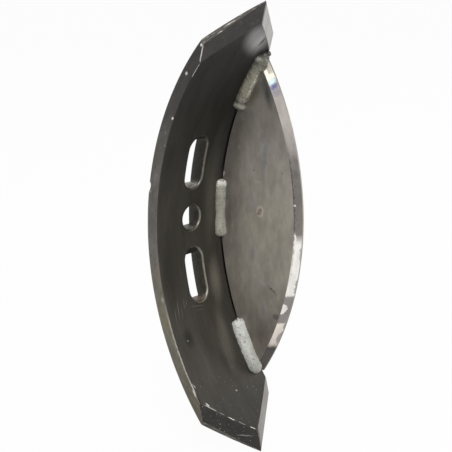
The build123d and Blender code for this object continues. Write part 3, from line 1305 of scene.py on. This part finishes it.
# Punched hole walls: dark oily scale that the punch has smeared smooth, with painted light on the upward-facing walls
# at the lower ends, a painted highlight there in the upper slot, and a painted brownish sheen on the lower slot's right
# wall.
PUNCHED_WALL = SteelFinish(
    name="punched_steel",
    surface=Surface.BOW,
    tones=((-50.0, "3A372F"), (50.0, "34322D")),
    contrast=0.25,
    clouds=(Mottle((2.0, 3.0, 1.5)), Mottle((0.6, 0.8, 3.0), 0.3, 0.7, seed=3.0)),
    roughness=(0.42, 0.3),
    metallic=0.5,
    grain_size=(0.4, 0.4, 1.5),
    grain_depth=0.03,
    patches=(
        # Painted light: the walls at the lower ends of the holes face up to the lamps, so they are painted light.
        Patch((0.0, 14.5), (7.5, 4.4), "A5A197", 0.9, 0.5),
        Patch((0.0, -7.6), (7.5, 3.8), "8E8A80", 0.9, 0.5),
        Patch((2.0, -43.5), (7.5, 4.6), "8A7A70", 0.9, 0.5),
        # Painted highlight in the lower end of the upper slot.
        Patch((3.4, 15.8), (1.6, 1.4), "D0CDC4", 0.7, 0.8),
        # Painted sheen: a brownish sheen on the right wall of the lower slot.
        Patch((6.0, -30.0), (1.5, 12.0), "4A443A", 0.5, 0.9),
    ),
    ragged=0.6,
)

# The pressed rims of the holes, polished by the bolt heads, with painted shade over their halves on the near-edge side
# so that only the other halves stay bright.
POLISHED_RIM = SteelFinish(
    name="polished_rim",
    surface=Surface.BOW,
    tones=((-50.0, "8A867B"), (50.0, "5A574F")),
    contrast=0.25,
    clouds=(Mottle((2.0, 3.0, 1.5)), Mottle((0.6, 0.8, 3.0), 0.3, 0.7, seed=3.0)),
    roughness=(0.3, 0.2),
    metallic=0.8,
    grain_size=(0.4, 0.4, 1.5),
    grain_depth=0.02,
    # Painted shade: the rims' halves on the near-edge side painted dark.
    patches=(Patch((-7.0, 0.0), (7.0, 50.0), "33312C", 0.8, 0.6, 0.0, Outline.BOX),),
)

# The knife's rolled plate: warm grey, smooth, with handling smudges and weld heat beside the beads, and painted shade
# over the half next to the bar.
KNIFE_PLATE = SteelFinish(
    name="rolled_knife_plate",
    surface=Surface.PLATE,
    tones=(
        (-80.0, "7A746C"),
        (-60.0, "807A70"),
        (-30.0, "9D978C"),
        (0.0, "A09A8E"),
        (30.0, "9C968D"),
        (60.0, "847F77"),
        (80.0, "66635A"),
    ),
    contrast=0.17,
    clouds=(Mottle((7.0, 16.0, 10.0)), Mottle((2.4, 5.0, 4.0), 0.3, 0.7, seed=2.0)),
    roughness=(0.5, 0.4),
    metallic=0.35,
    grain_size=(0.5, 0.8, 0.5),
    grain_depth=0.012,
    patches=(
        # Painted shade: the plate's half next to the bar and the beads painted dark, and darker still towards the upper
        # bead.
        Patch((-9.0, 10.0), (17.0, 62.0), "5C5751", 0.7, 1.0),
        Patch((-17.0, 42.0), (13.0, 30.0), "4F4B46", 0.6, 1.0, 18.0),
        Patch((-35.7, 33.5), (2.8, 18.0), "787C86", 0.6, 1.0, 6.0),
        Patch((-29.0, 7.5), (1.8, 9.5), "A6A3A6", 0.6, 1.0, -9.5),
        Patch((-31.4, 18.7), (3.2, 1.3), "B5B0AA", 0.5, 0.9),
        Patch((-32.7, 3.9), (2.8, 3.8), "CBBFB4", 0.8, 0.45, 10.0),
        Patch((-32.8, 3.7), (1.7, 2.6), "8A8279", 0.85, 0.5, 10.0),
        Patch((-31.4, 2.4), (0.6, 0.7), "3E3A36", 0.85, 0.6),
        Patch((-33.6, 4.6), (0.5, 0.6), "4A4641", 0.8, 0.6),
        Patch((-28.8, -18.4), (2.2, 6.5), "7A6E78", 0.5, 1.0),
        Patch((-35.5, -32.6), (5.0, 1.4), "A3A0A6", 0.55, 0.9, 22.0),
        Patch((-40.5, -34.4), (4.0, 0.6), "4E4B47", 0.7, 0.8, 26.0),
        Patch((-42.5, -36.2), (3.5, 0.5), "5A5652", 0.6, 0.8, 30.0),
        Patch((-40.0, -34.4), (0.6, 0.6), "33302D", 0.8, 0.6),
        Patch((-42.7, -35.3), (0.5, 0.5), "33302D", 0.8, 0.6),
        Patch((-37.6, -46.0), (2.6, 5.5), "96939A", 0.5, 1.0),
        Patch((-44.2, -48.5), (3.2, 2.6), "45423E", 0.65, 0.9),
        Patch((-30.8, 43.8), (0.5, 0.5), "3A3733", 0.7, 0.6),
        Patch((-28.5, 24.2), (0.5, 0.5), "3A3733", 0.6, 0.6),
        Patch((-46.6, 25.5), (0.5, 0.7), "45413C", 0.6, 0.6),
        Patch((-12.4, -4.4), (3.0, 13.0), "6A5A5A", 0.65, 1.0),
        Patch((-27.2, 61.3), (4.5, 12.0), "4F4A37", 0.7, 1.0, 37.0),
        Patch((-36.8, 63.0), (3.6, 10.0), "30353A", 0.75, 1.0, -17.0),
        Patch((-34.0, -60.0), (5.0, 12.0), "6F625A", 0.45, 1.0, 25.0),
        Patch((-27.0, -64.0), (4.0, 12.0), "575650", 0.5, 1.0, 25.0),
        Patch((-8.9, 19.3), (1.1, 1.8), "C9C6BC", 0.85, 0.6, 25.0),
    ),
    specks=(Specks((0.8, 0.9, 0.8), "4A4641", 0.71, 0.5), Specks((2.6, 4.0, 2.6), "A8A29A", 0.66, 0.25, seed=3.0)),
    ragged=1.6,
)

# The knife's ground edge: bright bare steel where the wheel reached, and grey scale where it didn't. Weld heat has
# tinted it near the upper tip.
KNIFE_EDGE = SteelFinish(
    name="ground_knife_edge",
    surface=Surface.EDGE,
    tones=(
        (-82.0, "66615B"),
        (-69.0, "5A5652"),
        (-66.0, "4F4C49"),
        (-65.0, "A79F98"),
        (-63.0, "DCD2C8"),
        (-52.0, "E6DED4"),
        (-51.3, "8F8A87"),
        (-40.3, "8F8A87"),
        (-36.8, "938E8A"),
        (-36.2, "F1EEE8"),
        (-9.0, "F1EEE8"),
        (-4.0, "807C78"),
        (6.0, "76726D"),
        (20.0, "706C68"),
        (32.0, "78736F"),
        (37.0, "928C88"),
        (50.0, "A09A96"),
        (60.0, "958F8B"),
        (66.0, "908A86"),
        (72.0, "A19D91"),
        (82.0, "8C8A7E"),
    ),
    contrast=0.1,
    clouds=(Mottle((3.0, 6.0, 3.0)), Mottle((0.6, 4.0, 0.6), 0.3, 0.7, seed=5.0)),
    roughness=(0.5, 0.3),
    metallic=0.55,
    grain_size=(0.25, 2.0, 0.25),
    grain_depth=0.01,
    patches=(
        Patch((1.5, 64.0), (3.4, 2.2), "77727E", 0.7, 1.0, 50.0),
        Patch((1.5, 66.8), (3.6, 1.3), "4E5688", 0.9, 0.9, 50.0),
        Patch((1.5, 69.2), (3.6, 1.2), "A9CCD8", 0.75, 0.9, 50.0),
        Patch((1.5, 71.2), (3.6, 1.4), "D9D4BC", 0.7, 0.9, 50.0),
        Patch((0.6, 75.0), (0.8, 6.0), "CFCBBE", 0.7, 0.6),
        Patch((0.0, -8.0), (1.2, 6.0), "F1EEE8", 1.0, 0.3),
        Patch((3.2, -14.0), (0.7, 7.0), "A39E9A", 0.9, 0.5),
        Patch((3.2, -31.0), (0.9, 5.5), "9A9591", 0.9, 0.4),
        Patch((0.3, -43.6), (1.6, 3.0), "EEE9E1", 1.0, 0.2),
        Patch((3.4, -52.0), (1.3, 4.0), "97928E", 0.9, 0.3),
        Patch((3.1, -60.0), (1.5, 4.5), "97928E", 0.9, 0.3),
        Patch((0.1, 8.5), (0.4, 40.0), "3E3A36", 0.75, 0.7, 0.0, Outline.BOX),
        Patch((0.4, 10.6), (0.5, 0.7), "D8D4CE", 0.9, 0.5),
        Patch((1.6, 26.0), (0.9, 3.5), "5F5B57", 0.6, 0.9),
        Patch((1.9, 33.0), (0.8, 2.5), "66615D", 0.6, 0.9),
    ),
    specks=(Specks((0.5, 2.4, 0.5), "55514D", 0.62, 0.5, (-6.0, 44.0)), Specks((0.8, 1.0, 0.8), "6E6A66", 0.68, 0.5)),
    ragged=1.6,
    ragged_size=1.1,
)

# Weld metal under a thin oxide: dull olive where it stayed hot longest.
UPPER_WELD = SteelFinish(
    name="weld_metal_dull",
    surface=Surface.SIDE,
    tones=(
        # Painted highlights on the two lobes at the lower end (58 and 62), with painted shade in the crease between
        # them (60.2).
        (54.0, "8F8C80"),
        (58.0, "A09D92"),
        (60.2, "5A574C"),
        (62.0, "9A978C"),
        (65.0, "858172"),
        (78.0, "8A8677"),
        (84.0, "76736A"),
        (88.0, "5E5B54"),
        (91.0, "4A4843"),
    ),
    contrast=0.16,
    clouds=(Mottle((3.0, 4.0, 3.0)), Mottle((0.8, 1.0, 0.8), 0.3, 0.7, seed=8.0)),
    roughness=(0.36, 0.26),
    metallic=0.5,
    grain_size=(0.4, 0.5, 0.4),
    grain_depth=0.03,
    patches=(
        Patch((-4.4, 72.0), (0.7, 10.0), "C4C1B4", 0.7, 0.7),
        # Painted highlight on the upper end.
        Patch((-1.0, 86.0), (1.6, 2.0), "B5B2A8", 0.6, 0.9),
    ),
    specks=(Specks((0.7, 0.9, 0.7), "4E4B42", 0.68, 0.6),),
    ragged=0.8,
)
# Greyer, with gas pits all over, and a bright end where the arc was broken off.
MIDDLE_WELD = SteelFinish(
    name="weld_metal_pitted",
    surface=Surface.SIDE,
    tones=((-16.0, "A8A69A"), (-8.0, "A5A397"), (0.0, "9E9C90"), (13.0, "A3A294"), (14.4, "DAD9D2"), (18.0, "E0DFD8")),
    contrast=0.18,
    clouds=(Mottle((3.0, 4.0, 3.0)), Mottle((0.7, 0.9, 0.7), 0.3, 0.7, seed=8.0)),
    roughness=(0.6, 0.5),
    metallic=0.25,
    grain_size=(0.4, 0.5, 0.4),
    grain_depth=0.05,
    specks=(Specks((0.55, 0.7, 0.55), "4A483F", 0.64, 0.75),),
    ragged=0.8,
)
# Almost white: brushed clean at its upper end, pitted at the lower one.
LOWER_WELD = SteelFinish(
    name="weld_metal_bright",
    surface=Surface.SIDE,
    tones=((-88.0, "A3A49C"), (-78.0, "BDBEB7"), (-70.0, "CDCEC7"), (-60.0, "D9DAD4"), (-56.0, "E6E6E2")),
    contrast=0.12,
    clouds=(Mottle((1.2, 6.0, 1.2)), Mottle((0.7, 2.4, 0.7), 0.3, 0.7, seed=8.0)),
    roughness=(0.66, 0.55),
    metallic=0.15,
    grain_size=(0.35, 1.2, 0.35),
    grain_depth=0.05,
    specks=(Specks((0.7, 0.9, 0.7), "53534C", 0.68, 0.8, (-95.0, -62.0)), Specks((0.5, 2.2, 0.5), "96968E", 0.62, 0.6)),
    ragged=0.8,
)

BEADS = (
    (
        WeldBead(
            name="upper_bead",
            node="weld_upper",
            middle=71.7,
            length=33.0,
            bar_leg=3.6,
            knife_leg=4.6,
            seed=3,
            waist=(1.12, 1.16, 0.94, 1.06, 1.0, 1.0, 1.04, 1.12, 1.2, 1.2),
            pits=8,
            pit_depth=0.25,
            lump=0.06,
            blunt=(2.4, 2.4),
            wraps_tip=True,
        ),
        UPPER_WELD,
    ),
    (
        WeldBead(
            name="middle_bead",
            node="weld_middle",
            middle=1.4,
            length=30.0,
            bar_leg=3.6,
            knife_leg=3.6,
            seed=5,
            waist=(1.05, 1.12, 1.02, 0.9, 0.96, 1.05, 1.0, 0.95),
            pits=30,
            pit_depth=0.3,
            blunt=(2.6, 6.0),
            teeth=0.5,
        ),
        MIDDLE_WELD,
    ),
    (
        WeldBead(
            name="lower_bead",
            node="weld_lower",
            middle=-71.7,
            length=30.0,
            bar_leg=4.7,
            knife_leg=4.4,
            seed=7,
            waist=(0.95, 1.02, 0.96, 1.0, 1.04, 1.0, 0.95),
            pits=22,
            pit_depth=0.35,
            lump=0.08,
            blunt=(2.2, 4.0),
            teeth=1.6,
        ),
        LOWER_WELD,
    ),
)


def main() -> None:
    """Builds the share and its studio in order."""
    logging.basicConfig(level=logging.INFO, format="%(name)s: %(message)s")
    PhotoCamera().build()
    Studio().build()
    bar_finishes = (ROLLED_SCALE, ROLLED_EDGE, GROUND_BEVEL, SHEARED_FLANK, PUNCHED_WALL, POLISHED_RIM)
    ShareBar().build([finish.build() for finish in bar_finishes])
    SideKnife().build([KNIFE_PLATE.build(), KNIFE_EDGE.build()])
    for bead, finish in BEADS:
        bead.build(finish.build())


if __name__ == "__main__":
    main()
